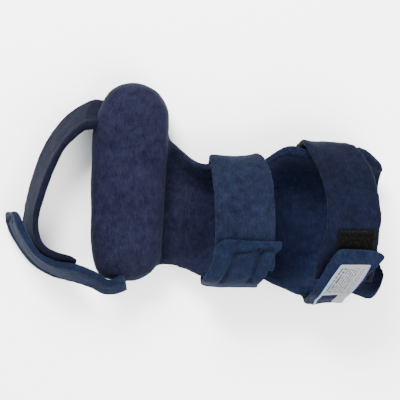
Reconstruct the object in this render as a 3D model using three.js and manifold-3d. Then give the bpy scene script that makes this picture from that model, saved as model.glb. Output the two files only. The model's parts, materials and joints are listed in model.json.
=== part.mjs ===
// Resting hand splint: a padded forearm trough with a palm roll, two closures and a finger loop.
// Millimetres. X runs from the fingers to the elbow, Y towards the little finger, Z up.
// The origin lies on the surface that the splint rests on, under the wrist closure.
import * as THREE from 'three';
import { mergeVertices } from 'three/addons/utils/BufferGeometryUtils.js';
import Module from 'manifold-3d';

const wasm = await Module();
wasm.setup();

// Driving dimensions
const seatGap = 0.3; // between pieces that touch
const wingGap = 0.6; // between a closure and the rounded wing that it lies on
const padWall = 7.5; // padded wall of the trough
const troughStart = -72; // hidden end of the trough, inside the palm roll
const troughLength = 166;
const wingHalfWidth = 50;
const rimHeight = 34;
const rollAxis = -72; // X of the palm roll's middle
const rollWidth = 50;
const rollHeight = 36;
const rollLength = 132;
const rollEnd = -40.5; // Y of the roll's end at the thumb
const rollFlat = 1.5; // how far the roll is pressed flat where it rests
const strapThick = 5;
const wristStrapHeight = 51.5; // inside of the strap above the floor
const wristStrapWidth = 40;
const forearmStrapHeight = 57;
const forearmStrapWidth = 36;
const patchThick = 1.2;
const labelThick = 0.8;
const loopAngle = 10; // degrees that the finger loop is turned from Y
const loopSpan = 131;
const loopReach = 54;
const loopStartX = -88;
const loopStartY = -38.4;
const bandWidth = 36;
const bandThick = 5.5;
const bandLift = 1.5; // lower edge of the band above the floor
const bandRoot = 5; // how far the band's fixed end runs on, up to the roll
const tabThick = 5;

// Middles of the two closures, as shares of the trough's length
const wristStrapAlong = 0.428;
const forearmStrapAlong = 0.807;

// The trough along X: place as a share of its length, half widths as shares of wingHalfWidth,
// and the height of the rim as a share of rimHeight
const troughRows = [
  { along: 0.0, outer: 0.9, inner: 0.62, rim: 0.36 },
  { along: 0.09, outer: 1.08, inner: 0.62, rim: 0.36 },
  { along: 0.14, outer: 1.14, inner: 0.62, rim: 0.38 },
  { along: 0.18, outer: 1.05, inner: 0.63, rim: 0.42 },
  { along: 0.22, outer: 0.91, inner: 0.67, rim: 0.52 },
  { along: 0.27, outer: 0.8, inner: 0.73, rim: 0.68 },
  { along: 0.32, outer: 0.77, inner: 0.76, rim: 0.78 },
  { along: 0.43, outer: 0.76, inner: 0.76, rim: 0.82 },
  { along: 0.5, outer: 0.78, inner: 0.77, rim: 0.85 },
  { along: 0.55, outer: 0.89, inner: 0.84, rim: 0.92 },
  { along: 0.61, outer: 0.98, inner: 0.91, rim: 0.98 },
  { along: 0.65, outer: 1.0, inner: 0.965, rim: 1.02 },
  { along: 0.69, outer: 0.95, inner: 0.97, rim: 1.0 },
  { along: 0.78, outer: 0.93, inner: 0.94, rim: 1.0 },
  { along: 0.855, outer: 0.905, inner: 0.945, rim: 1.0 },
  { along: 0.89, outer: 0.97, inner: 0.98, rim: 1.0 },
  { along: 0.92, outer: 0.95, inner: 1.02, rim: 1.0 },
  { along: 0.95, outer: 0.88, inner: 1.03, rim: 0.98 },
  { along: 0.985, outer: 0.8, inner: 0.93, rim: 0.92 },
  { along: 1.0, outer: 0.75, inner: 0.78, rim: 0.86 },
];

// Outside of the trough's wall from the middle of its floor to the rim: shares of the half width
// and of the rim's height
const wallRows = [
  { across: 0.0, up: 0.0 },
  { across: 0.2, up: 0.0 },
  { across: 0.4, up: 0.0 },
  { across: 0.58, up: 0.04 },
  { across: 0.73, up: 0.15 },
  { across: 0.84, up: 0.34 },
  { across: 0.91, up: 0.57 },
  { across: 0.955, up: 0.79 },
  { across: 1.0, up: 1.0 },
];

// First of those rows that the closures' line follows
const girthFrom = 4;

// Line of a closure from the top of the arm down to the rim: shares of the half width, and of
// the rise from the rim to the strap's height
const archRows = [
  { across: 0.0, rise: 1.0 },
  { across: 0.24, rise: 0.965 },
  { across: 0.48, rise: 0.86 },
  { across: 0.7, rise: 0.66 },
  { across: 0.86, rise: 0.42 },
  { across: 0.97, rise: 0.19 },
];

// The palm roll along Y: place as a share of its length from the thumb's end, edges in X as
// shares of rollWidth from its middle, lowest and highest points as shares of rollHeight
const rollRows = [
  { along: 0.0, left: -0.14, right: 0.06, low: 0.34, top: 0.56 },
  { along: 0.012, left: -0.34, right: 0.16, low: 0.12, top: 0.7 },
  { along: 0.04, left: -0.45, right: 0.28, low: 0.02, top: 0.82 },
  { along: 0.085, left: -0.51, right: 0.37, low: 0.0, top: 0.92 },
  { along: 0.16, left: -0.535, right: 0.42, low: 0.0, top: 0.98 },
  { along: 0.3, left: -0.54, right: 0.44, low: 0.0, top: 1.0 },
  { along: 0.5, left: -0.54, right: 0.46, low: 0.0, top: 1.0 },
  { along: 0.66, left: -0.535, right: 0.51, low: 0.0, top: 1.0 },
  { along: 0.77, left: -0.51, right: 0.535, low: 0.0, top: 1.0 },
  { along: 0.81, left: -0.48, right: 0.53, low: 0.0, top: 0.99 },
  { along: 0.86, left: -0.435, right: 0.52, low: 0.0, top: 0.97 },
  { along: 0.91, left: -0.38, right: 0.465, low: 0.0, top: 0.93 },
  { along: 0.955, left: -0.3, right: 0.375, low: 0.03, top: 0.84 },
  { along: 0.985, left: -0.19, right: 0.23, low: 0.12, top: 0.72 },
  { along: 1.0, left: -0.06, right: 0.09, low: 0.32, top: 0.54 },
];

// Edges of the closures: turn is 1 low on the outer wing, 0 on top and -1 low on the other wing,
// near and far are the edges in X as shares of the strap's width from its place
const wristStrapRows = [
  { turn: 0.93, near: -0.52, far: 0.28 },
  { turn: 0.6, near: -0.5, far: 0.33 },
  { turn: 0.5, near: -0.49, far: 0.39 },
  { turn: 0.4, near: -0.475, far: 0.45 },
  { turn: 0.3, near: -0.45, far: 0.51 },
  { turn: 0.2, near: -0.43, far: 0.56 },
  { turn: 0.0, near: -0.42, far: 0.59 },
  { turn: -0.2, near: -0.43, far: 0.585 },
  { turn: -0.31, near: -0.44, far: 0.57 },
];
const wristTabRows = [
  { turn: -0.93, near: -0.65, far: 0.33 },
  { turn: -0.6, near: -0.64, far: 0.34 },
  { turn: -0.42, near: -0.62, far: 0.36 },
  { turn: -0.33, near: -0.56, far: 0.43 },
  { turn: -0.25, near: -0.47, far: 0.51 },
  { turn: -0.19, near: -0.425, far: 0.58 },
  { turn: -0.15, near: -0.41, far: 0.67 },
  { turn: -0.12, near: -0.4, far: 0.735 },
  { turn: -0.107, near: -0.36, far: 0.745 },
  { turn: -0.1, near: -0.28, far: 0.68 },
];
const forearmStrapRows = [
  { turn: 0.93, near: -0.78, far: 0.08 },
  { turn: 0.6, near: -0.655, far: 0.24 },
  { turn: 0.5, near: -0.6, far: 0.33 },
  { turn: 0.4, near: -0.52, far: 0.425 },
  { turn: 0.3, near: -0.405, far: 0.58 },
  { turn: 0.2, near: -0.315, far: 0.675 },
  { turn: 0.1, near: -0.26, far: 0.725 },
  { turn: 0.0, near: -0.255, far: 0.74 },
  { turn: -0.1, near: -0.32, far: 0.705 },
  { turn: -0.15, near: -0.4, far: 0.68 },
  { turn: -0.31, near: -0.46, far: 0.6 },
];
const forearmTabRows = [
  { turn: -0.93, near: -0.68, far: 0.12 },
  { turn: -0.6, near: -0.6, far: 0.15 },
  { turn: -0.4, near: -0.56, far: 0.2 },
  { turn: -0.3, near: -0.43, far: 0.39 },
  { turn: -0.25, near: -0.34, far: 0.49 },
  { turn: -0.21, near: -0.26, far: 0.64 },
  { turn: -0.185, near: -0.21, far: 0.76 },
  { turn: -0.16, near: -0.155, far: 0.825 },
  { turn: -0.14, near: -0.11, far: 0.77 },
  { turn: -0.127, near: -0.03, far: 0.64 },
];
const patchRows = [
  { turn: -0.042, near: -0.02, far: 0.61 },
  { turn: -0.15, near: -0.055, far: 0.575 },
  { turn: -0.28, near: -0.1, far: 0.53 },
];
const labelRows = [
  { turn: -0.2, near: 0.0, far: 0.535 },
  { turn: -0.3, near: -0.22, far: 0.35 },
  { turn: -0.4, near: -0.4, far: 0.135 },
  { turn: -0.64, near: -0.46, far: 0.08 },
];

// Where the flap climbs onto the strap under it: turns between which it rises
const climbFrom = -0.52;
const climbTo = -0.335;

// The finger loop seen from above: along and out are shares of loopSpan and loopReach
const loopRows = [
  { along: 0.86, out: 0.36 },
  { along: 0.81, out: 0.545 },
  { along: 0.755, out: 0.7 },
  { along: 0.685, out: 0.82 },
  { along: 0.595, out: 0.925 },
  { along: 0.433, out: 1.01 },
  { along: 0.271, out: 1.04 },
  { along: 0.175, out: 1.0 },
  { along: 0.085, out: 0.86 },
  { along: 0.048, out: 0.63 },
  { along: 0.034, out: 0.36 },
  { along: 0.004, out: 0.1 },
  { along: -0.02, out: -0.06 },
  { along: 0.02, out: -0.24 },
];

// How both pieces of the loop run along its line: lean in degrees away from upright, lift of the
// middle line as a share of bandWidth, flare outwards in mm
const courseRows = [
  { at: 0.0, lean: 30, lift: 0.0, flare: 0.6 },
  { at: 0.08, lean: 28, lift: 0.0, flare: 1.0 },
  { at: 0.2, lean: 24, lift: 0.0, flare: 1.2 },
  { at: 0.36, lean: 21, lift: 0.0, flare: 1.2 },
  { at: 0.66, lean: 17, lift: 0.0, flare: 2.0 },
  { at: 0.73, lean: 18, lift: 0.03, flare: 2.2 },
  { at: 0.78, lean: 22, lift: 0.08, flare: 1.5 },
  { at: 0.84, lean: 28, lift: 0.15, flare: 0.3 },
  { at: 0.92, lean: 34, lift: 0.2, flare: -0.6 },
  { at: 1.0, lean: 34, lift: 0.1, flare: 0 },
];

// The band and the flap themselves: width as a share of bandWidth, and how far each stands away
// from the course, in mm
const bandRows = [
  { at: 0.0, width: 0.8, away: 0 },
  { at: 0.08, width: 0.94, away: 0 },
  { at: 0.2, width: 1.0, away: 0 },
  { at: 0.66, width: 1.0, away: 0 },
  { at: 0.73, width: 0.92, away: 0 },
  { at: 0.78, width: 0.78, away: 0 },
  { at: 0.805, width: 0.5, away: 0 },
];
const tabRows = [
  { at: 0.504, width: 0.62, away: 7.8 },
  { at: 0.52, width: 0.94, away: 6.7 },
  { at: 0.55, width: 1.03, away: 4.5 },
  { at: 0.59, width: 1.03, away: 1.8 },
  { at: 0.63, width: 1.02, away: 0.3 },
  { at: 0.66, width: 1.0, away: 0 },
  { at: 0.73, width: 0.94, away: 0 },
  { at: 0.78, width: 0.86, away: 0 },
  { at: 0.84, width: 0.68, away: 0 },
  { at: 0.92, width: 0.52, away: 0 },
  { at: 1.0, width: 0.46, away: 0 },
];

// Value of one column of a table at a place, smooth between its rows
function columnAt(rows, key, place, column) {
  const last = rows.length - 1;
  const rising = rows[last][key] > rows[0][key];
  let i = 0;
  while (i < last - 1 && (rising ? place > rows[i + 1][key] : place < rows[i + 1][key])) {
    i += 1;
  }
  const share = THREE.MathUtils.clamp((place - rows[i][key]) / (rows[i + 1][key] - rows[i][key]), 0, 1);
  const a = rows[i][column];
  const b = rows[i + 1][column];
  const before = i > 0 ? (b - rows[i - 1][column]) / 2 : b - a;
  const after = i < last - 1 ? (rows[i + 2][column] - a) / 2 : b - a;
  const t2 = share * share;
  const t3 = t2 * share;
  return (2 * t3 - 3 * t2 + 1) * a + (t3 - 2 * t2 + share) * before
    + (3 * t2 - 2 * t3) * b + (t3 - t2) * after;
}

// Closed solid through rings of points, one after another. Each end is closed by a strip that
// runs across the ring, from the point at tip to the one opposite
function loft(rings, tip = 0) {
  const count = rings[0].length;
  const positions = rings.flat().flatMap((p) => [p.x, p.y, p.z]);
  const index = [];
  for (let i = 0; i < rings.length - 1; i += 1) {
    for (let j = 0; j < count; j += 1) {
      const next = (j + 1) % count;
      const a = i * count + j;
      const b = i * count + next;
      index.push(a, b, b + count, a, b + count, a + count);
    }
  }
  const start = (step) => (tip + step + count) % count;
  const end = (step) => (rings.length - 1) * count + start(step);
  for (let k = 0; k < count / 2; k += 1) {
    if (k > 0) {
      index.push(start(k), start(-k), start(k + 1));
      index.push(end(k), end(k + 1), end(-k));
    }
    if (k < count / 2 - 1) {
      index.push(start(-k), start(-k - 1), start(k + 1));
      index.push(end(-k), end(k + 1), end(-k - 1));
    }
  }
  const geometry = new THREE.BufferGeometry();
  geometry.setAttribute('position', new THREE.Float32BufferAttribute(positions, 3));
  geometry.setIndex(signedVolume(positions, index) < 0 ? index.reverse() : index);
  return geometry;
}

function signedVolume(positions, index) {
  const corner = (i) => new THREE.Vector3().fromArray(positions, 3 * index[i]);
  let sum = 0;
  for (let i = 0; i < index.length; i += 3) {
    sum += corner(i).dot(corner(i + 1).cross(corner(i + 2)));
  }
  return sum / 6;
}

function toSolid(geometry) {
  const plain = geometry.clone();
  plain.deleteAttribute('normal');
  plain.deleteAttribute('uv');
  const merged = mergeVertices(plain, 1e-4);
  return new wasm.Manifold(new wasm.Mesh({
    numProp: 3,
    vertProperties: new Float32Array(merged.attributes.position.array),
    triVerts: new Uint32Array(merged.index.array),
  }));
}

function toGeometry(solid) {
  const mesh = solid.getMesh();
  const geometry = new THREE.BufferGeometry();
  geometry.setAttribute('position', new THREE.Float32BufferAttribute(mesh.vertProperties, 3));
  geometry.setIndex(Array.from(mesh.triVerts));
  return geometry;
}

// Half widths and rim height of the trough at a place in X
function troughAt(x) {
  const along = THREE.MathUtils.clamp((x - troughStart) / troughLength, 0, 1);
  return {
    outer: wingHalfWidth * columnAt(troughRows, 'along', along, 'outer'),
    inner: wingHalfWidth * columnAt(troughRows, 'along', along, 'inner'),
    rim: rimHeight * columnAt(troughRows, 'along', along, 'rim'),
  };
}

// Point on the outside of the trough's wall, from 0 in the middle of the floor to 1 at the rim,
// on the outer side for side 1 and on the other for side -1
function wallPoint(x, share, side) {
  const size = troughAt(x);
  const half = side > 0 ? size.outer : size.inner;
  const rows = wallRows.map((r, i) => ({ ...r, row: i }));
  const row = share * (rows.length - 1);
  const across = columnAt(rows, 'row', row, 'across');
  const up = columnAt(rows, 'row', row, 'up');
  return new THREE.Vector3(x, side * half * across, Math.max(0, up) * size.rim);
}

// Direction out of the wall at that point, in the plane across the trough
function wallNormal(x, share, side) {
  const step = 0.01;
  const from = wallPoint(x, Math.max(0, share - step), side);
  const to = wallPoint(x, Math.min(1, share + step), side);
  const run = to.sub(from).normalize();
  return new THREE.Vector3(0, side * Math.abs(run.z), -Math.abs(run.y));
}

// The trough: rings across it at steps along X, the outside, the rims and the inside
function trough(grow) {
  const wallSteps = 11;
  const stations = 34;
  const rings = [];
  for (let i = 0; i <= stations; i += 1) {
    const x = troughStart + (troughLength * i) / stations;
    const end = i === 0 ? -grow : i === stations ? grow : 0;
    const outside = [];
    const inside = [];
    for (let j = -wallSteps; j <= wallSteps; j += 1) {
      const side = j < 0 ? 1 : -1;
      const share = Math.abs(j) / wallSteps;
      const point = wallPoint(x, share, side);
      const normal = wallNormal(x, share, side);
      point.x += end;
      outside.push(point.clone().addScaledVector(normal, grow));
      inside.push(point.clone().addScaledVector(normal, -padWall - grow));
    }
    const firstRim = roundRim(outside[0], inside[0]);
    const lastRim = roundRim(inside[inside.length - 1], outside[outside.length - 1]);
    rings.push([...outside, ...lastRim.reverse(), ...inside.reverse(), ...firstRim.reverse()]);
  }
  return toSolid(loft(rings, rings[0].length - 2));
}

// Points of the round edge between the outside and the inside of the wall
function roundRim(from, to) {
  const middle = from.clone().add(to).multiplyScalar(0.5);
  const half = from.clone().sub(to).multiplyScalar(0.5);
  const up = new THREE.Vector3(0, -half.z, half.y);
  if (up.z < 0) {
    up.negate();
  }
  return [0.25, 0.5, 0.75].map((share) => {
    const angle = Math.PI * share;
    return middle.clone().addScaledVector(half, Math.cos(angle)).addScaledVector(up, 0.8 * Math.sin(angle));
  });
}

// The palm roll: rings across it at the rows' places along Y, pressed flat where they rest
function roll(grow) {
  const sides = 28;
  const fullness = 0.72;
  const rings = [];
  const stations = 30;
  for (let i = 0; i <= stations; i += 1) {
    const along = 0.5 - 0.5 * Math.cos((Math.PI * i) / stations);
    const value = (column) => columnAt(rollRows, 'along', along, column);
    const y = rollEnd + rollLength * along + (i === 0 ? -grow : i === stations ? grow : 0);
    const left = rollAxis + rollWidth * value('left') - grow;
    const right = rollAxis + rollWidth * value('right') + grow;
    const low = rollHeight * Math.max(0, value('low')) - grow - rollFlat;
    const top = rollHeight * value('top') + grow;
    const ring = [];
    for (let j = 0; j < sides; j += 1) {
      const angle = (2 * Math.PI * j) / sides;
      const across = Math.sign(Math.cos(angle)) * Math.abs(Math.cos(angle)) ** fullness;
      const up = Math.sign(Math.sin(angle)) * Math.abs(Math.sin(angle)) ** fullness;
      const x = (left + right) / 2 + (across * (right - left)) / 2;
      const z = (low + top) / 2 + (up * (top - low)) / 2;
      ring.push(new THREE.Vector3(x, y, Math.max(-grow, z)));
    }
    rings.push(ring);
  }
  return toSolid(loft(rings));
}

function pad(grow) {
  return trough(grow).add(roll(grow));
}

// Ring of a flat band in its own section: places across its width and through its thickness
function bandSection(near, far, thick) {
  const edge = 0.32 * thick;
  const inner = [0, 0.25, 0.5, 0.75, 1].map((s) => near + edge + s * (far - near - 2 * edge));
  return [
    ...inner.map((across) => ({ across, deep: 0 })),
    { across: far, deep: edge },
    { across: far, deep: thick - edge },
    ...inner.reverse().map((across) => ({ across, deep: thick })),
    { across: near, deep: thick - edge },
    { across: near, deep: edge },
  ];
}

// Point on the line that a closure follows round the wings and over the arm
function girthPoint(x, turn, height) {
  const side = turn >= 0 ? 1 : -1;
  const share = Math.abs(turn);
  const size = troughAt(x);
  const half = side > 0 ? size.outer : size.inner;
  const wall = wallRows.slice(girthFrom).reverse().map((r) => ({ across: r.across, up: r.up * size.rim }));
  const arch = archRows.map((r) => ({ across: r.across, up: size.rim + r.rise * (height - size.rim) }));
  const rows = [...arch, ...wall].map((r, i) => ({ ...r, row: i }));
  const mirror = { ...rows[1], across: -rows[1].across, row: -1 };
  const place = share * (rows.length - 1);
  const across = columnAt([mirror, ...rows], 'row', place, 'across');
  const up = columnAt([mirror, ...rows], 'row', place, 'up');
  return new THREE.Vector3(x, side * half * across, up);
}

function girthNormal(x, turn, height) {
  const step = 0.004;
  const run = girthPoint(x, turn + step, height).sub(girthPoint(x, turn - step, height)).normalize();
  return new THREE.Vector3(0, run.z < 0 ? -run.z : -run.z, run.y);
}

// A piece of a closure: rows give its edges, lift its clearance over what it lies on
function closurePiece(rows, closure, thick, lift, stations) {
  const rings = [];
  const from = rows[0].turn;
  const to = rows[rows.length - 1].turn;
  for (let i = 0; i <= stations; i += 1) {
    const turn = from + ((to - from) * i) / stations;
    const near = closure.place + closure.width * columnAt(rows, 'turn', turn, 'near');
    const far = closure.place + closure.width * columnAt(rows, 'turn', turn, 'far');
    rings.push(bandSection(near, far, thick).map(({ across, deep }) => {
      const point = girthPoint(across, turn, closure.height);
      const normal = girthNormal(across, turn, closure.height);
      return point.addScaledVector(normal, lift(turn) + deep);
    }));
  }
  return loft(rings);
}

// Clearance of a flap: on the wing at first, then climbing by the height of what lies under it
function climb(stack) {
  return (turn) => wingGap + stack * THREE.MathUtils.smoothstep(turn, climbFrom, climbTo);
}

// The finger loop's line, seen from above
function loopLine() {
  const angle = THREE.MathUtils.degToRad(loopAngle);
  const alongX = Math.sin(angle);
  const alongY = Math.cos(angle);
  const points = loopRows.map((row) => new THREE.Vector3(
    loopStartX + row.along * loopSpan * alongX - row.out * loopReach * alongY,
    loopStartY + row.along * loopSpan * alongY + row.out * loopReach * alongX,
    bandLift + bandWidth / 2,
  ));
  return new THREE.CatmullRomCurve3(points, false, 'centripetal');
}

// Direction out of the loop, square to a run along it
function outOf(run) {
  return new THREE.Vector3(run.y, -run.x, 0).normalize();
}

// A flat piece along the loop's line, from one offset outwards, its rows giving width and place.
// Its first end runs on by root, towards what carries it
function loopPiece(rows, thick, offset, stations, root = 0) {
  const line = loopLine();
  const from = rows[0].at;
  const to = rows[rows.length - 1].at;
  const step = 0.004;
  const middle = (at) => line.getPointAt(at).addScaledVector(
    outOf(line.getTangentAt(at)),
    columnAt(courseRows, 'at', at, 'flare') + columnAt(rows, 'at', at, 'away'),
  );
  const rings = [];
  for (let i = 0; i <= stations; i += 1) {
    const at = from + ((to - from) * i) / stations;
    const own = (column) => columnAt(rows, 'at', at, column);
    const course = (column) => columnAt(courseRows, 'at', at, column);
    const run = middle(Math.min(1, at + step)).sub(middle(Math.max(0, at - step))).normalize();
    const outward = outOf(run);
    const point = middle(at).addScaledVector(run, i === 0 ? -root : 0);
    const lean = THREE.MathUtils.degToRad(course('lean'));
    const upward = new THREE.Vector3(0, 0, Math.cos(lean)).addScaledVector(outward, -Math.sin(lean));
    const face = outward.clone().multiplyScalar(Math.cos(lean)).add(new THREE.Vector3(0, 0, Math.sin(lean)));
    const half = (bandWidth * own('width')) / 2;
    point.z += bandWidth * course('lift');
    rings.push(bandSection(-half, half, thick).map(({ across, deep }) => point.clone()
      .addScaledVector(upward, across)
      .addScaledVector(face, offset + deep)));
  }
  return loft(rings);
}

const wristClosure = {
  place: troughStart + troughLength * wristStrapAlong,
  width: wristStrapWidth,
  height: wristStrapHeight,
};
const forearmClosure = {
  place: troughStart + troughLength * forearmStrapAlong,
  width: forearmStrapWidth,
  height: forearmStrapHeight,
};
const strapStations = 26;
const tabStations = 20;
const patchStations = 6;
const labelStations = 12;
const loopStations = 30;
const wristStack = strapThick + seatGap;
const patchBase = wingGap + strapThick + seatGap;
const forearmStack = strapThick + 2 * seatGap + patchThick;
const labelBase = tabThick + seatGap;

const navy = new THREE.MeshStandardMaterial({ color: 0x1d2b4d, roughness: 0.95, metalness: 0 });
const black = new THREE.MeshStandardMaterial({ color: 0x101012, roughness: 0.85, metalness: 0 });
const pale = new THREE.MeshStandardMaterial({ color: 0xcfd3dc, roughness: 0.7, metalness: 0 });

const group = new THREE.Group();

function addPiece(name, geometry, material) {
  const mesh = new THREE.Mesh(geometry, material);
  mesh.name = name;
  group.add(mesh);
}

// A piece that lies against the pad, trimmed to its clearance from it
function besidePad(geometry) {
  return toGeometry(toSolid(geometry).subtract(padClearance));
}

const padClearance = pad(seatGap);
const onWing = () => wingGap;
const onForearmTab = (turn) => climb(forearmStack)(turn) + labelBase;
const wristStrap = closurePiece(wristStrapRows, wristClosure, strapThick, onWing, strapStations);
const wristTab = closurePiece(wristTabRows, wristClosure, tabThick, climb(wristStack), tabStations);
const forearmStrap = closurePiece(forearmStrapRows, forearmClosure, strapThick, onWing, strapStations);
const patch = closurePiece(patchRows, forearmClosure, patchThick, () => patchBase, patchStations);
const forearmTab = closurePiece(forearmTabRows, forearmClosure, tabThick, climb(forearmStack), tabStations);
const label = closurePiece(labelRows, forearmClosure, labelThick, onForearmTab, labelStations);
const band = loopPiece(bandRows, bandThick, -bandThick, loopStations, bandRoot);
const fingerTab = loopPiece(tabRows, tabThick, seatGap, loopStations);

addPiece('splint_pad', toGeometry(pad(0)), navy);
addPiece('wrist_strap', besidePad(wristStrap), navy);
addPiece('wrist_tab', besidePad(wristTab), navy);
addPiece('forearm_strap', besidePad(forearmStrap), navy);
addPiece('forearm_hook_patch', patch, black);
addPiece('forearm_tab', besidePad(forearmTab), navy);
addPiece('label', label, pale);
addPiece('finger_band', besidePad(band), navy);
addPiece('finger_tab', besidePad(fingerTab), navy);

export default group;
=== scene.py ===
# %% [markdown]
# # A resting hand splint
# The splint is one soft padded body, with a trough for the forearm and a roll for the palm, two
# closures made of a strap and a flap, and a loop for the fingers. Its sizes and places come from a
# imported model, the frame. This script gives each piece of it cloth, puff, seams and stitches.
# Lengths are in metres. X runs from the finger loop to the elbow end, and Z up.

# %% Load the frame
import json
import math

import bmesh
import bpy
import numpy as np
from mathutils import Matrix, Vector, noise
from mathutils.bvhtree import BVHTree
from mathutils.kdtree import KDTree

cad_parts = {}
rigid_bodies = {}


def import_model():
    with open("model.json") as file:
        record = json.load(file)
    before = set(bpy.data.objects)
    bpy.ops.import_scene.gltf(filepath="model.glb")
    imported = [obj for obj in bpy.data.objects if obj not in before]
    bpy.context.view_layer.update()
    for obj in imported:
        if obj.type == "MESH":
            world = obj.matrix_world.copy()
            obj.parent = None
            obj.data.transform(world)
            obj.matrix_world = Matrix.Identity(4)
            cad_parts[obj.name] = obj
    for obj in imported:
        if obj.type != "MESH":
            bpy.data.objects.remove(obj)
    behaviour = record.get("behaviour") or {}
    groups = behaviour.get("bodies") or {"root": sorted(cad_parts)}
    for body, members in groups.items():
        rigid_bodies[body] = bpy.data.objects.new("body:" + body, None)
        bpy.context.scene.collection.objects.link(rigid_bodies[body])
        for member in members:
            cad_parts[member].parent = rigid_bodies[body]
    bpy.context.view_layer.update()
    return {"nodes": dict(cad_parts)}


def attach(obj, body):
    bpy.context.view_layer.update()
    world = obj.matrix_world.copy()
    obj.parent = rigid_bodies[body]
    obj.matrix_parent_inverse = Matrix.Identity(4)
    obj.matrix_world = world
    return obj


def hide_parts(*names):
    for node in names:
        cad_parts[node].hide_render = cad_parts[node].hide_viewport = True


MM = 0.001
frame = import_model()
print("frame:", ", ".join(sorted(frame["nodes"])))

# %% [markdown]
# ## Camera
# The splint is seen from straight above, at about a metre. A camera could be aimed by an empty,
# but a plain place and no turn is easier to check: a camera that isn't turned looks down, with Y up
# in the picture. Its lens follows from how wide a strip it takes in at a known height.

# %% Camera
CAMERA_HEIGHT = 1.025
SEEN_HEIGHT = 0.025
SEEN_WIDTH = 0.260
SEEN_CENTRE = (-0.026, 0.01365)

camera = bpy.data.objects.new("camera", bpy.data.cameras.new("camera"))
camera.data.sensor_width = 36
camera.data.lens = 36 * (CAMERA_HEIGHT - SEEN_HEIGHT) / SEEN_WIDTH
camera.location = (*SEEN_CENTRE, CAMERA_HEIGHT)
bpy.context.collection.objects.link(camera)
bpy.context.scene.camera = camera
print("lens in mm:", round(camera.data.lens, 1))

# %% [markdown]
# ## Light
# Dark cloth shows its folds only where light comes from one side. A wide box on the upper left
# models the rolls and flaps, a weaker one opposite keeps the lower side from going black, and a
# bright surround gives the even look of a studio.

# %% Lamps and surround
def soft_box(name, place, size, watts):
    """A square lamp at a place, aimed at the middle of the splint."""
    lamp = bpy.data.lights.new(name, "AREA")
    lamp.size = size
    lamp.energy = watts
    holder = bpy.data.objects.new(name, lamp)
    holder.location = place
    aim = Vector((*SEEN_CENTRE, SEEN_HEIGHT)) - Vector(place)
    holder.rotation_euler = aim.to_track_quat("-Z", "Y").to_euler()
    bpy.context.collection.objects.link(holder)


KEY_WATTS, FILL_WATTS = 50, 37
SKY_COLOUR, SKY_STRENGTH = (0.95, 0.97, 1.0, 1), 2.1
soft_box("key_box", (-0.3, 0.8, 0.85), 0.5, KEY_WATTS)
soft_box("fill_box", (0.5, -0.6, 0.9), 0.8, FILL_WATTS)
surround = bpy.data.worlds.new("surround")
surround.use_nodes = True
sky = surround.node_tree.nodes["Background"]
sky.inputs["Color"].default_value = SKY_COLOUR
sky.inputs["Strength"].default_value = SKY_STRENGTH
bpy.context.scene.world = surround
print("lamps:", len(bpy.data.lights))

# %% [markdown]
# ## Node trees as expressions
# A finish reads better as a formula than as a list of links. Socket wraps one output of a node, so
# that adding or multiplying two of them makes the Math node. Graph has one method that makes any
# other node, and it serves for materials and for Geometry Nodes alike.

# %% Sockets
class Socket:
    """One output of a node, with arithmetic."""

    def __init__(self, graph, link):
        self.graph = graph
        self.link = link

    def math(self, operation, first, second):
        return self.graph.node("ShaderNodeMath", {"operation": operation}, {0: first, 1: second})

    def __add__(self, other):
        return self.math("ADD", self, other)

    def __sub__(self, other):
        return self.math("SUBTRACT", self, other)

    def __rsub__(self, other):
        return self.math("SUBTRACT", other, self)

    def __mul__(self, other):
        return self.math("MULTIPLY", self, other)

    def __gt__(self, other):
        return self.math("GREATER_THAN", self, other)

    def __lt__(self, other):
        return self.math("LESS_THAN", self, other)

    __radd__ = __add__
    __rmul__ = __mul__


# %% Graphs
class Graph:
    """A node tree that one method fills."""

    def __init__(self, tree):
        self.tree = tree
        tree.nodes.clear()

    def node(self, kind, settings=None, inputs=None, output=0):
        made = self.tree.nodes.new(kind)
        for name, value in (settings or {}).items():
            setattr(made, name, value)
        for name, value in (inputs or {}).items():
            if isinstance(value, Socket):
                self.tree.links.new(value.link, made.inputs[name])
            else:
                made.inputs[name].default_value = value
        return Socket(self, made.outputs[output]) if made.outputs else made


class Finish(Graph):
    """A material's tree, with the few textures that cloth needs."""

    def __init__(self, name):
        self.material = bpy.data.materials.new(name)
        self.material.use_nodes = True
        super().__init__(self.material.node_tree)
        self.place = self.node("ShaderNodeTexCoord", output="Object")

    def noise(self, size, detail=2.0, place=None):
        """Smooth noise from 0 to 1, whose blots are about that size in metres."""
        inputs = {"Vector": place or self.place, "Scale": 1 / size, "Detail": detail}
        return self.node("ShaderNodeTexNoise", None, inputs)

    def loops(self, size, place=None):
        """Round cells, high at their middles, as the loops of a pile are."""
        inputs = {"Vector": place or self.place, "Scale": 1 / size}
        return 1 - self.node("ShaderNodeTexVoronoi", None, inputs)

    def drawn_out(self, turn, stretch):
        """The place, turned about Z and stretched, for a pattern with a direction."""
        inputs = {"Vector": self.place, "Rotation": (0, 0, turn), "Scale": stretch}
        return self.node("ShaderNodeMapping", None, inputs)

    def ramp(self, value, low, high):
        """0 up to low, 1 from high, straight between."""
        return self.node("ShaderNodeMapRange", None, {"Value": value, 1: low, 2: high})

    def blend(self, share, first, second, kind="MIX"):
        colours = [(*c, 1) if isinstance(c, tuple) else c for c in (first, second)]
        settings = {"data_type": "RGBA", "blend_type": kind}
        return self.node("ShaderNodeMix", settings, {0: share, 6: colours[0], 7: colours[1]}, 2)

    def bump(self, height, depth, under=None):
        inputs = {"Height": height, "Distance": depth}
        if under:
            inputs["Normal"] = under
        return self.node("ShaderNodeBump", None, inputs)

    def surface(self, inputs):
        shader = self.node("ShaderNodeBsdfPrincipled", None, inputs)
        self.node("ShaderNodeOutputMaterial", None, {"Surface": shader})
        return self.material


print("graph classes ready")

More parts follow.
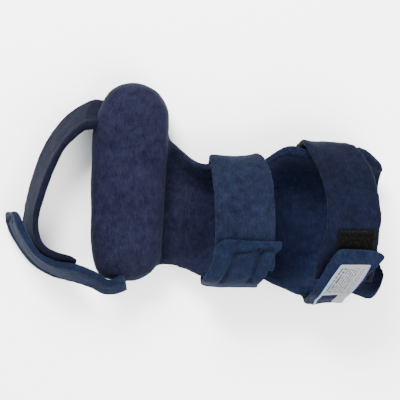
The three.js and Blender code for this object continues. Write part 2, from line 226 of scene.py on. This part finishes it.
# %% [markdown]
# ## The cloth
# The cover is brushed terry: a knit whose loops have been raised to a short nap. It isn't one
# blue. The nap lies in patches a couple of centimetres wide, which take the light differently, the
# loops give it a grain just under a millimetre, and wear mixes in a little violet and grey-green.
# All of it is noise of several sizes in Object coordinates, so it runs over every edge unbroken.
# The forearm panel is cut from a bluer piece of cloth than the palm roll, and it also carries painted
# light and shade: the near wing is painted lighter, as lit cloth, and the rest of the panel darker,
# as painted shade in the trough. A ramp along X fades the roll into the panel, and one along Y goes
# from the near wing to the rest of it.

# %% Brushed terry
NAP_PATCH = 22 * MM
NAP_MOTTLE = 4.5 * MM
NAP_STREAK = 1.1 * MM
LOOP_SIZE = 0.95 * MM
TINT_PATCH = 9 * MM
LINT_SIZE = 1.5 * MM
STREAK_STRETCH = (1.0, 0.3, 0.6)
VIOLET_CAST = (1.15, 0.95, 1.02)
TEAL_CAST = (0.85, 1.06, 1.0)
WORN_DARK, WORN_LIGHT = (0.72,) * 3, (1.2,) * 3
LINT_COLOUR = (0.3, 0.32, 0.36)
UNTINTED = (1.0, 1.0, 1.0)
PANEL_START, PANEL_FULL = -40 * MM, 0.0
INNER_WING, OUTER_WING = -34 * MM, -14 * MM


def brushed_terry(name, dark, light, turn=0.0, far_panel_tint_and_shade=UNTINTED, near_wing_tint_and_light=UNTINTED):
    """Terry between two blues, its nap turned by an angle, with a tint for each wing's panel that also
    holds painted light on the near wing and painted shade on the rest.
    """
    terry = Finish(name)
    patches = terry.noise(NAP_PATCH, 2)
    mottle = terry.noise(NAP_MOTTLE, 4)
    streaks = terry.noise(NAP_STREAK, 2, terry.drawn_out(turn, STREAK_STRETCH))
    loops = terry.loops(LOOP_SIZE)
    shade = patches * 0.3 + mottle * 0.45 + streaks * 0.25
    blue = terry.blend(terry.ramp(shade, 0.33, 0.66), dark, light)
    tint = terry.ramp(terry.noise(TINT_PATCH, 3), 0.4, 0.65)
    tinted = terry.blend(0.5, blue, terry.blend(tint, VIOLET_CAST, TEAL_CAST), "MULTIPLY")
    wear = terry.ramp(loops * 0.5 + streaks * 0.5, 0.35, 0.75)
    worn = terry.blend(wear, WORN_DARK, WORN_LIGHT)
    napped = terry.blend(0.8, tinted, worn, "MULTIPLY")
    lint = terry.noise(LINT_SIZE, 1) > 0.83
    speckled = terry.blend(lint * 0.1, napped, LINT_COLOUR)
    along = terry.node("ShaderNodeSeparateXYZ", None, {"Vector": terry.place})
    across = Socket(terry, along.link.node.outputs[1])
    # Painted light and shade with a bluer tint: one factor lightens the near wing, the other darkens the
    # rest of the forearm panel.
    wing_tint_and_shading = terry.blend(terry.ramp(across, INNER_WING, OUTER_WING), near_wing_tint_and_light, far_panel_tint_and_shade)
    panel_tint_and_shading = terry.blend(terry.ramp(along, PANEL_START, PANEL_FULL), UNTINTED, wing_tint_and_shading)
    colour = terry.blend(1.0, speckled, panel_tint_and_shading, "MULTIPLY")
    soft = terry.bump(mottle, 0.5 * MM)
    raised = terry.bump(loops * 0.6 + streaks * 0.4, 0.45 * MM, soft)
    return terry.surface({
        "Base Color": colour, "Roughness": 0.88 + 0.1 * mottle, "Normal": raised,
        "Sheen Weight": 0.035, "Sheen Roughness": 0.4, "Sheen Tint": (0.5, 0.6, 0.9, 1),
        "Specular IOR Level": 0.05,
    })


# The body's two wing factors are a bluer tint with painted light and shade in it: the panel above Y = -14
# mm is painted darker, as shade in the trough, and the near wing below Y = -34 mm is painted lighter, as
# lit cloth.
body_cloth = brushed_terry("body_terry", (0.0015, 0.0022, 0.0072), (0.0083, 0.0083, 0.0203),
                           far_panel_tint_and_shade=(0.6, 0.83, 1.0), near_wing_tint_and_light=(0.75, 1.12, 1.35))
strap_cloth = brushed_terry("strap_terry", (0.0016, 0.0023, 0.0072), (0.0060, 0.0086, 0.0210))
dark_cloth = brushed_terry("dark_terry", (0.0007, 0.0010, 0.0035), (0.0029, 0.0042, 0.0127))
flap_cloth = brushed_terry("flap_terry", (0.0014, 0.0028, 0.0085), (0.0049, 0.0085, 0.0228), 0.3)
loop_cloth = brushed_terry("loop_terry", (0.0008, 0.0011, 0.0038), (0.0030, 0.0037, 0.0105), 0.2)
print("cloths:", [m.name for m in bpy.data.materials if "terry" in m.name])

# %% [markdown]
# ## Working on a mesh
# Soft shapes need an even skin of small faces, which the frame's long triangles aren't. Each piece
# starts as a copy of its frame node and gets a voxel remesh. Relaxing then rounds its edges: every
# point moves towards its neighbours, and then as far away from them, which smooths without shrinking.

# %% Copies and their skin
def points_of(piece):
    """The piece's points, a row of X, Y and Z for each."""
    flat = np.empty(len(piece.data.vertices) * 3)
    piece.data.vertices.foreach_get("co", flat)
    return flat.reshape(-1, 3)


def normals_of(piece):
    flat = np.empty(len(piece.data.vertices) * 3)
    piece.data.vertices.foreach_get("normal", flat)
    return flat.reshape(-1, 3)


def put_points(piece, points):
    piece.data.vertices.foreach_set("co", points.ravel())
    piece.data.update()


def made_plain(piece):
    """Turns the piece's modifiers into plain mesh."""
    graph = bpy.context.evaluated_depsgraph_get()
    mesh = bpy.data.meshes.new_from_object(piece.evaluated_get(graph))
    piece.modifiers.clear()
    piece.data = mesh


def new_piece(name, mesh):
    """A mesh as an object in the scene."""
    piece = bpy.data.objects.new(name, mesh)
    bpy.context.collection.objects.link(piece)
    return piece


# %% Remesh and relax
def averaged(piece, values):
    """At each point, the mean of the values at the points joined to it."""
    ends = np.empty(len(piece.data.edges) * 2, np.int32)
    piece.data.edges.foreach_get("vertices", ends)
    first, second = ends[::2], ends[1::2]
    sums = np.stack([np.bincount(first, column[second], len(values))
                     + np.bincount(second, column[first], len(values)) for column in values.T], 1)
    return sums / np.bincount(ends, minlength=len(values))[:, None]


RELAX_FORTH, RELAX_BACK = 0.55, -0.56


def relaxed(piece, rounds):
    """Smooths the piece without shrinking it."""
    points = points_of(piece)
    for share in (RELAX_FORTH, RELAX_BACK) * rounds:
        points += share * (averaged(piece, points) - points)
    put_points(piece, points)


def melted(piece, share, rounds):
    """Plain smoothing, by a share from 0 to 1 at each point, for crests that relaxing leaves."""
    points = points_of(piece)
    for _ in range(rounds):
        points += 0.5 * share[:, None] * (averaged(piece, points) - points)
    put_points(piece, points)


def skinned(node, name, voxel, rounds):
    """A copy of a frame node with an even, rounded skin."""
    mesh = bpy.data.meshes.new(name)
    shape = bmesh.new()
    shape.from_mesh(frame["nodes"][node].data)
    bmesh.ops.remove_doubles(shape, verts=shape.verts, dist=0.01 * MM)
    shape.to_mesh(mesh)
    shape.free()
    piece = new_piece(name, mesh)
    skin = piece.modifiers.new("skin", "REMESH")
    skin.mode = "VOXEL"
    skin.voxel_size = voxel
    made_plain(piece)
    relaxed(piece, rounds)
    return piece


def shrunk(piece, depth):
    """Draws the skin in along its normals, to leave room for puff."""
    put_points(piece, points_of(piece) - normals_of(piece) * depth)


def subdivided(piece):
    """Cuts every face in four, rounded."""
    finer = piece.modifiers.new("finer", "SUBSURF")
    finer.levels = finer.render_levels = 1
    made_plain(piece)
    piece.data.shade_smooth()


print("mesh helpers ready")

# %% [markdown]
# ## Waves and seams
# Two things shape the cover after that. It is never quite even, so noise lifts it by fractions
# of a millimetre. A seam pulls it down along a line, deepest at the thread, and wider and shallower
# around it, which makes the padding swell beside it. Seams are laid on the surface from above, as
# they are seen, by dropping rays on it.

# %% Waves
def waved(piece, wave, height, seed):
    """Lifts and sinks the skin by smooth noise of one wavelength."""
    shift = Vector((seed, seed * 0.37, 0))
    points = points_of(piece)
    lift = np.array([noise.noise(Vector(p) / wave + shift) for p in points])
    put_points(piece, points + normals_of(piece) * (height * lift)[:, None])


# %% Lines on a surface
def finely(corners, step):
    """Points at even steps along a line through the corners."""
    points = [Vector(corners[0])]
    for start, end in zip(corners, corners[1:]):
        run = Vector(end) - Vector(start)
        count = max(1, round(run.length / step))
        points += [Vector(start) + run * (i / count) for i in range(1, count + 1)]
    return points


def surface_of(piece):
    """The piece as a tree that rays can be cast on."""
    return BVHTree.FromPolygons([v.co for v in piece.data.vertices],
                                [p.vertices for p in piece.data.polygons])


def laid(piece, corners, towards, step=0.5 * MM):
    """The line through the corners, thrown on the piece in one direction."""
    surface = surface_of(piece)
    hits = [surface.ray_cast(start, Vector(towards))[0] for start in finely(corners, step)]
    return [hit for hit in hits if hit]


def dropped(piece, corners):
    """A line of (x, y) corners in millimetres, laid on the piece from above."""
    return laid(piece, [(x * MM, y * MM, 0.2) for x, y in corners], (0, 0, -1))


# %% Seams
SWELL = 3.5


def sewn(piece, line, depth, width, puff=0.35):
    """Pulls the piece down along a line of points, and by a share of that around it."""
    tree = KDTree(len(line))
    for i, point in enumerate(line):
        tree.insert(point, i)
    tree.balance()
    points = points_of(piece)
    away = np.array([tree.find(p)[2] for p in points])
    pull = np.exp(-(away / width) ** 2) + puff * np.exp(-(away / (SWELL * width)) ** 2)
    put_points(piece, points - normals_of(piece) * (depth / (1 + puff) * pull)[:, None])


print("cloth helpers ready")

# %% [markdown]
# ## The padded body
# The body is foam between two layers of cloth. A cloth simulation gives it that look: its skin
# starts a little small, air pressure inside blows it up for some frames, and the fabric's own
# stiffness keeps it even. No point may travel further than a set reach, and none sinks below the
# surface that the splint lies on. The walls' corners at the elbow end are melted a little more, as
# the bound edge of a real pad has no points.

# %% Puff by air pressure
AIR_FRAMES = 20
AIR_QUALITY = 5


def blown(piece, pressure, reach):
    """Lets pressure inside push the skin out, by no more than a reach."""
    start = points_of(piece)
    air = piece.modifiers.new("air", "CLOTH")
    air.settings.use_pressure = True
    air.settings.uniform_pressure_force = pressure
    air.settings.effector_weights.gravity = 0
    air.settings.quality = AIR_QUALITY
    scene = bpy.context.scene
    for step in range(1, AIR_FRAMES + 1):
        scene.frame_set(step)
    made_plain(piece)
    scene.frame_set(1)
    travel = points_of(piece) - start
    for _ in range(3):
        travel = 0.5 * travel + 0.5 * averaged(piece, travel)
    length = np.linalg.norm(travel, axis=1, keepdims=True)
    put_points(piece, start + travel * (reach * np.tanh(length / reach) / np.maximum(length, 1e-9)))
    print(piece.name, "moved by", round(float(length.mean()) / MM, 2), "mm on average before the cap")


BODY_VOXEL = 2.0 * MM
BODY_ROUNDS = 16
BODY_SHRINK = 1.0 * MM
BODY_PRESSURE = 4.0
BODY_REACH = 1.4 * MM
MOUTH_START, MOUTH_ROUNDS = 84 * MM, 12
BODY_WAVE, BODY_WAVE_HEIGHT = 18 * MM, 0.8 * MM

padded_body = skinned("splint_pad", "padded_body", BODY_VOXEL, BODY_ROUNDS)
shrunk(padded_body, BODY_SHRINK)
blown(padded_body, BODY_PRESSURE, BODY_REACH)
relaxed(padded_body, 4)
mouth = (points_of(padded_body)[:, 0] - MOUTH_START) / (padded_body.bound_box[4][0] - MOUTH_START)
melted(padded_body, np.clip(2 * mouth, 0, 1), MOUTH_ROUNDS)
waved(padded_body, BODY_WAVE, BODY_WAVE_HEIGHT, 3)
print("body:", len(padded_body.data.polygons), "faces")

# %% Seams of the body
WALL_NEAR, WALL_FAR = 18, 58


def rim_line(piece, side, start, end):
    """The ridge of a trough wall: at each millimetre of X the highest point on that side."""
    surface = surface_of(piece)
    line = []
    for x in np.arange(start, end, 1.0):
        hits = [surface.ray_cast(Vector((x * MM, side * y * MM, 0.2)), Vector((0, 0, -1)))[0]
                for y in np.arange(WALL_NEAR, WALL_FAR, 0.5)]
        line.append(max((h for h in hits if h), key=lambda h: h.z))
    evened = np.array(line)
    for _ in range(6):
        evened[1:-1] = (evened[:-2] + 2 * evened[1:-1] + evened[2:]) / 4
    return [Vector(point) for point in evened]


RIM_START, RIM_END = -6, 88
RIM_SEAM_DEPTH, RIM_SEAM_WIDTH = 0.7 * MM, 1.0 * MM
rims = [rim_line(padded_body, side, RIM_START, RIM_END) for side in (1, -1)]
for rim in rims:
    sewn(padded_body, rim, RIM_SEAM_DEPTH, RIM_SEAM_WIDTH)
subdivided(padded_body)
low = points_of(padded_body)
low[:, 2] = np.maximum(low[:, 2], 0.0)
put_points(padded_body, low)
padded_body.data.materials.append(body_cloth)
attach(padded_body, "root")
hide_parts("splint_pad")
print("rims:", [len(rim) for rim in rims], "points")

# %% [markdown]
# ## Straps and flaps
# The closures are the same terry on thin foam, about five millimetres thick and cut three to four
# centimetres wide. Air pressure rounds their edges and swells their faces, and a reach of only a
# millimetre keeps them flat bands and not tubes. A shallow wave follows, and then the seams: a box
# and a groove on the wrist flap, and a hem round the end of the finger flap.

# %% Making a closure
CLOSURE_VOXEL = 1.3 * MM
CLOSURE_ROUNDS = 90
CLOSURE_SHRINK = 0.6 * MM
CLOSURE_PRESSURE = 5.0
CLOSURE_REACH = 1.0 * MM
LONG_WAVE, SHORT_WAVE = 13 * MM, 5 * MM
WAVE_HEIGHT = 0.45 * MM


def closure(node, name, cloth, seed):
    """The padded cover of a strap, a flap or a band."""
    piece = skinned(node, name, CLOSURE_VOXEL, CLOSURE_ROUNDS)
    shrunk(piece, CLOSURE_SHRINK)
    blown(piece, CLOSURE_PRESSURE, CLOSURE_REACH)
    waved(piece, LONG_WAVE, WAVE_HEIGHT, seed)
    waved(piece, SHORT_WAVE, WAVE_HEIGHT * 0.25, seed + 5)
    subdivided(piece)
    piece.data.materials.append(cloth)
    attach(piece, "root")
    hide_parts(node)
    print(name, len(piece.data.polygons), "faces")
    return piece


# %% Wrist closure
WRIST_BOX = [(-12.4, -40.1), (-6.2, -28.2), (-4.8, -20.8), (8, -19.6), (19.3, -18.6)]
WRIST_GROOVE = [(11.9, -18.6), (9.6, -26.2), (5.4, -39.4)]
# A seam's depth, width and puff.
BOX_SEAM = (3.0 * MM, 1.5 * MM, 0.3)
GROOVE_SEAM = (3.2 * MM, 1.6 * MM, 0.3)
wrist_strap = closure("wrist_strap", "wrist_strap_cover", strap_cloth, 11)
wrist_flap = closure("wrist_tab", "wrist_flap_cover", flap_cloth, 21)
sewn(wrist_flap, dropped(wrist_flap, WRIST_BOX), *BOX_SEAM)
sewn(wrist_flap, dropped(wrist_flap, WRIST_GROOVE), *GROOVE_SEAM)

# %% Forearm closure
forearm_strap = closure("forearm_strap", "forearm_strap_cover", dark_cloth, 31)
forearm_flap = closure("forearm_tab", "forearm_flap_cover", flap_cloth, 41)

# %% [markdown]
# ## The finger loop's sewn ends
# The band is sewn to the roll's round end, and the flap to its other end. A cover that only stops
# short of the body would leave a slit there. Its end could be cut to the body's shape, but a sewn
# end is drawn down to what it is sewn on, so the points near the body are moved onto it, most of
# the way where they are nearest.

# %% Finger loop
TUCK_GAIN = 2.5
TUCK_SUNK = 0.4 * MM
BAND_TUCK, FLAP_TUCK = 7 * MM, 4 * MM


def tucked(piece, onto, reach):
    """Draws the points within reach of another piece onto it, as a sewn end lies."""
    surface = surface_of(onto)
    points = points_of(piece)
    for i, point in enumerate(points):
        spot, normal, _, away = surface.find_nearest(Vector(point), reach)
        if spot:
            pull = min(1.0, TUCK_GAIN * (1 - away / reach))
            points[i] = Vector(point).lerp(spot - TUCK_SUNK * normal, pull)
    put_points(piece, points)


finger_band = closure("finger_band", "finger_band_cover", loop_cloth, 51)
finger_flap = closure("finger_tab", "finger_flap_cover", flap_cloth, 61)
tucked(finger_band, padded_body, BAND_TUCK)
tucked(finger_flap, padded_body, FLAP_TUCK)
FINGER_BOX = [(-168, -14, 25), (-164, -8, 25), (-164, -8, 12), (-156, -28, 12), (-138, -50, 13)]
HEM_SEAM = (1.6 * MM, 1.1 * MM, 0.4)
INWARD = (0.82, 0.57, 0)
finger_seam = laid(finger_flap, [tuple(c * MM for c in corner) for corner in FINGER_BOX], INWARD)
sewn(finger_flap, finger_seam, *HEM_SEAM)
print("finger seam:", len(finger_seam), "points")

# %% [markdown]
# ## Thread
# Stitches repeat along a path, which is work for Geometry Nodes: the tree turns a line into a
# curve, sets points on it one stitch apart, and puts a small drop of thread on each, along the
# line. Its sizes are inputs, so one tree serves every seam. The result is made plain mesh at once,
# because the piece has to stand without its modifier.

# %% Stitch tree
FLAP_PITCH, BODY_PITCH = 2.6 * MM, 3.2 * MM
STITCH_SHARE = 0.75
THREAD_THICKNESS = 0.42 * MM


def node_tree(name, sizes):
    """An empty Geometry Nodes tree with a geometry input, named sizes and a material."""
    tree = bpy.data.node_groups.new(name, "GeometryNodeTree")
    tree.interface.new_socket("Geometry", in_out="INPUT", socket_type="NodeSocketGeometry")
    for size in sizes:
        tree.interface.new_socket(size, in_out="INPUT", socket_type="NodeSocketFloat")
    tree.interface.new_socket("Finish", in_out="INPUT", socket_type="NodeSocketMaterial")
    tree.interface.new_socket("Geometry", in_out="OUTPUT", socket_type="NodeSocketGeometry")
    return Graph(tree)


def closed_tree(graph, geometry):
    """Ends a tree: real geometry instead of instances, and its material."""
    real = graph.node("GeometryNodeRealizeInstances", None, {"Geometry": geometry})
    finish = graph.node("NodeGroupInput", output="Finish")
    done = graph.node("GeometryNodeSetMaterial", None, {"Geometry": real, "Material": finish})
    graph.node("NodeGroupOutput", None, {"Geometry": done})
    return graph.tree


def stitch_tree():
    graph = node_tree("stitches", ["Pitch", "Length", "Thickness"])
    given = lambda name: graph.node("NodeGroupInput", output=name)
    curve = graph.node("GeometryNodeMeshToCurve", None, {"Mesh": given("Geometry")})
    steps = graph.node("GeometryNodeResampleCurve", {"mode": "LENGTH"},
                       {"Curve": curve, "Length": given("Pitch")})
    drop = graph.node("GeometryNodeMeshUVSphere", None, {"Segments": 6, "Rings": 5, "Radius": 0.5})
    size = graph.node("ShaderNodeCombineXYZ", None,
                      {"X": given("Thickness"), "Y": given("Thickness"), "Z": given("Length")})
    along = graph.node("FunctionNodeAlignRotationToVector", {"axis": "Z"},
                       {"Vector": graph.node("GeometryNodeInputTangent")})
    thread = graph.node("GeometryNodeInstanceOnPoints", None,
                        {"Points": steps, "Instance": drop, "Rotation": along, "Scale": size})
    return closed_tree(graph, thread)


# %% Sewing with it
def grown(name, mesh, tree, sizes, finish):
    """A piece made by a tree on a mesh, as plain mesh that rides with the splint."""
    piece = new_piece(name, mesh)
    growth = piece.modifiers.new("growth", "NODES")
    growth.node_group = tree
    sockets = {s.name: s.identifier for s in tree.interface.items_tree if s.in_out == "INPUT"}
    for size, value in sizes.items():
        growth[sockets[size]] = value
    growth[sockets["Finish"]] = finish
    made_plain(piece)
    piece.data.shade_smooth()
    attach(piece, "root")
    print(name, len(piece.data.polygons), "faces")
    return piece


def stitched(name, lines, finish, pitch):
    """Stitches along lines of points, one for each pitch."""
    corners, edges = [], []
    for line in lines:
        first = len(corners)
        corners += line
        edges += [(i, i + 1) for i in range(first, first + len(line) - 1)]
    mesh = bpy.data.meshes.new(name)
    mesh.from_pydata(corners, edges, [])
    sizes = {"Pitch": pitch, "Length": STITCH_SHARE * pitch, "Thickness": THREAD_THICKNESS}
    return grown(name, mesh, stitches, sizes, finish)


def thread(name, colour):
    spun = Finish(name)
    twist = spun.noise(0.5 * MM, 2)
    dark = tuple(0.5 * c for c in colour)
    return spun.surface({
        "Base Color": spun.blend(twist, dark, colour), "Roughness": 0.6 + 0.2 * twist,
        "Normal": spun.bump(twist, 0.1 * MM), "Specular IOR Level": 0.2})


stitches = stitch_tree()
navy_thread = thread("navy_thread", (0.0022, 0.0032, 0.0095))
flap_seams = [dropped(wrist_flap, WRIST_BOX), dropped(wrist_flap, WRIST_GROOVE)]
wrist_stitches = stitched("wrist_flap_stitches", flap_seams, navy_thread, FLAP_PITCH)
body_stitches = stitched("body_rim_stitches", rims, navy_thread, BODY_PITCH)

# %% [markdown]
# ## Hook patch
# A strip of hook tape is sewn on the forearm strap, and the flap closes over one end of it. Up close
# hook tape is a field of little stalks bent over at their tips. A grid of rays finds where each
# stands on the tape, and the tree puts a bent stalk on every corner of that grid.

# %% Grid round the girth
GIRTH_CENTRE = Vector((0, 0, 22 * MM))


def girth_grid(name, surface, rows, columns, steps, lift):
    """A mesh on a surface. Each row is (angle round the girth, first x, last x) in mm and degrees."""
    angles, firsts, lasts = zip(*rows)
    corners = []
    for angle in np.linspace(angles[0], angles[-1], steps):
        first, last = np.interp(angle, angles, firsts), np.interp(angle, angles, lasts)
        out = Vector((0, math.cos(math.radians(angle)), math.sin(math.radians(angle))))
        for x in np.linspace(first, last, columns):
            start = Vector((x * MM, 0, 0)) + GIRTH_CENTRE + out * 0.12
            corners.append(surface.ray_cast(start, -out)[0] + out * lift)
    faces = [(r * columns + c, r * columns + c + 1, (r + 1) * columns + c + 1, (r + 1) * columns + c)
             for r in range(steps - 1) for c in range(columns - 1)]
    mesh = bpy.data.meshes.new(name)
    mesh.from_pydata(corners, [], faces)
    turned = Vector(mesh.polygons[0].normal)
    if turned.dot(corners[0] - GIRTH_CENTRE) < 0:
        mesh.flip_normals()
    return mesh


# %% Hooks
def hook_tree():
    graph = node_tree("hooks", ["Height", "Thickness"])
    given = lambda name: graph.node("NodeGroupInput", output=name)
    height = given("Height")
    bend = graph.node("ShaderNodeCombineXYZ", None, {"Z": height * 1.5})
    tip = graph.node("ShaderNodeCombineXYZ", None, {"X": height * 0.7, "Z": height * 0.6})
    stalk = graph.node("GeometryNodeCurveQuadraticBezier", None,
                       {"Resolution": 5, "Start": (0, 0, 0), "Middle": bend, "End": tip})
    ring = graph.node("GeometryNodeCurvePrimitiveCircle", None,
                      {"Resolution": 4, "Radius": given("Thickness")})
    hook = graph.node("GeometryNodeCurveToMesh", None,
                      {"Curve": stalk, "Profile Curve": ring, "Fill Caps": True})
    upright = graph.node("FunctionNodeAlignRotationToVector", {"axis": "Z"},
                         {"Vector": graph.node("GeometryNodeInputNormal")})
    angle = graph.node("FunctionNodeRandomValue", {"data_type": "FLOAT"},
                       {2: -0.7, 3: 0.7, "Seed": 4}, 1)
    swing = graph.node("FunctionNodeAxisAngleToRotation", None, {"Axis": (0, 0, 1), "Angle": angle})
    turned = graph.node("FunctionNodeRotateRotation", {"rotation_space": "LOCAL"},
                        {"Rotation": upright, "Rotate By": swing})
    field = graph.node("GeometryNodeInstanceOnPoints", None,
                       {"Points": given("Geometry"), "Instance": hook, "Rotation": turned})
    return closed_tree(graph, field)


def hook_tape(name):
    tape = Finish(name)
    dust = tape.noise(1.1 * MM, 3)
    colour = tape.blend(tape.ramp(dust, 0.5, 0.7), (0.0003, 0.0003, 0.0002), (0.0065, 0.0058, 0.0038))
    return tape.surface({
        "Base Color": colour, "Roughness": 0.55 + 0.3 * dust,
        "Normal": tape.bump(tape.loops(0.8 * MM), 0.3 * MM), "Specular IOR Level": 0.05})


black_hook = hook_tape("black_hook_tape")
patch = frame["nodes"]["forearm_hook_patch"]
patch.data.materials.clear()
patch.data.materials.append(black_hook)
PATCH_ROWS = [(99.5, 62.0, 82.6), (117, 60.9, 81.4), (135.0, 59.6, 80.0)]
HOOK_COLUMNS, HOOK_STEPS, HOOK_ROOT = 26, 34, -0.1 * MM
HOOK_SIZE = {"Height": 0.9 * MM, "Thickness": 0.11 * MM}
hook_field = girth_grid("hook_field", surface_of(patch), PATCH_ROWS, HOOK_COLUMNS, HOOK_STEPS, HOOK_ROOT)
hooks = grown("patch_hooks", hook_field, hook_tree(), HOOK_SIZE, black_hook)

# %% [markdown]
# ## Label
# A woven label is sewn on the forearm flap, in line with it. It is a thin sheet, so it is a grid
# laid on the flap and given a wall. Its pattern follows its own UV map: a pale blue border on one
# long side and a lilac one on the other, plain rules along it, and a plain navy block at its end.

# %% Label cloth
# Each rule and the block is given as (low, high) across or along the sheet, from 0 to 1.
RULES_ALONG, BLOCK_ALONG, BLOCK_ACROSS = (0.05, 0.44), (0.48, 0.9), (0.09, 0.6)
BORDER_WIDTH = 0.06
DASHES_ALONG, DASH_GAP = 40, 0.42
PICKS, ENDS = 26.0, 14.0
LABEL_RULES = ((0.12, 0.17), (0.22, 0.28), (0.33, 0.36), (0.41, 0.44), (0.49, 0.52), (0.57, 0.6),
               (0.65, 0.68), (0.77, 0.79), (0.84, 0.86))


def between(value, limits):
    return (value > limits[0]) * (value < limits[1])


def woven_label(name):
    label = Finish(name)
    uv = label.node("ShaderNodeTexCoord", output="UV")
    split = label.node("ShaderNodeSeparateXYZ", None, {0: uv})
    across, along = split, Socket(label, split.link.node.outputs[1])
    ground = label.blend(label.noise(3 * MM, 3), (0.116, 0.120, 0.127), (0.150, 0.152, 0.156))
    for low, high in LABEL_RULES:
        dashes = label.node("ShaderNodeTexNoise", {"noise_dimensions": "1D"},
                            {"W": along * DASHES_ALONG + 50 * low, "Scale": 1.0, "Detail": 0.0}) > DASH_GAP
        rule = between(across, (low, high)) * between(along, RULES_ALONG) * dashes
        ground = label.blend(rule * 0.9, ground, (0.012, 0.014, 0.032))
    block = between(along, BLOCK_ALONG) * between(across, BLOCK_ACROSS)
    marked = label.blend(block, ground, (0.0035, 0.0045, 0.0150))
    bordered = label.blend(across < BORDER_WIDTH, marked, (0.10, 0.15, 0.24))
    edged = label.blend(across > 1 - BORDER_WIDTH, bordered, (0.11, 0.105, 0.19))
    picks = label.node("ShaderNodeTexWave", {"bands_direction": "Y"}, {"Vector": uv, "Scale": PICKS})
    ends = label.node("ShaderNodeTexWave", {"bands_direction": "X"}, {"Vector": uv, "Scale": ENDS})
    return label.surface({"Base Color": edged, "Roughness": 0.75 + 0.1 * picks,
                          "Normal": label.bump(picks * 0.5 + ends * 0.5, 0.06 * MM),
                          "Specular IOR Level": 0.03})


# %% Label sheet
LABEL_ROWS = [(121.2, 62.0, 81.0), (131.2, 56.1, 76.3), (141.5, 50.9, 70.6), (151.8, 47.0, 66.4),
              (172.0, 45.5, 64.8)]
LABEL_COLUMNS, LABEL_STEPS = 14, 30
label_mesh = girth_grid("label_sheet", surface_of(forearm_flap), LABEL_ROWS, LABEL_COLUMNS,
                        LABEL_STEPS, 0.35 * MM)
label = new_piece("label_sheet", label_mesh)
uv_map = label_mesh.uv_layers.new(name="UVMap")
for loop in label_mesh.loops:
    row, column = divmod(loop.vertex_index, LABEL_COLUMNS)
    uv_map.data[loop.index].uv = (column / (LABEL_COLUMNS - 1), row / (LABEL_STEPS - 1))
run = [label_mesh.vertices[row * LABEL_COLUMNS + 7].co for row in range(LABEL_STEPS)]
print("label length:", round(sum((b - a).length for a, b in zip(run, run[1:])) / MM, 1))
wall = label.modifiers.new("wall", "SOLIDIFY")
wall.thickness = 0.45 * MM
wall.offset = 1
smooth = label.modifiers.new("smooth", "SUBSURF")
smooth.levels = smooth.render_levels = 1
made_plain(label)
label.data.shade_smooth()
label.data.materials.append(woven_label("woven_label"))
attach(label, "root")
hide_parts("label")

# %% [markdown]
# ## Floor
# A plain pale sheet, wide enough to fill the view from any side.

# %% Floor
floor_mesh = bpy.data.meshes.new("floor")
floor_mesh.from_pydata([(-3, -3, 0), (3, -3, 0), (3, 3, 0), (-3, 3, 0)], [], [(0, 1, 2, 3)])
floor = new_piece("floor", floor_mesh)
pale = Finish("pale_floor")
floor_mesh.materials.append(pale.surface({"Base Color": (0.95, 0.95, 0.95, 1), "Roughness": 0.9}))
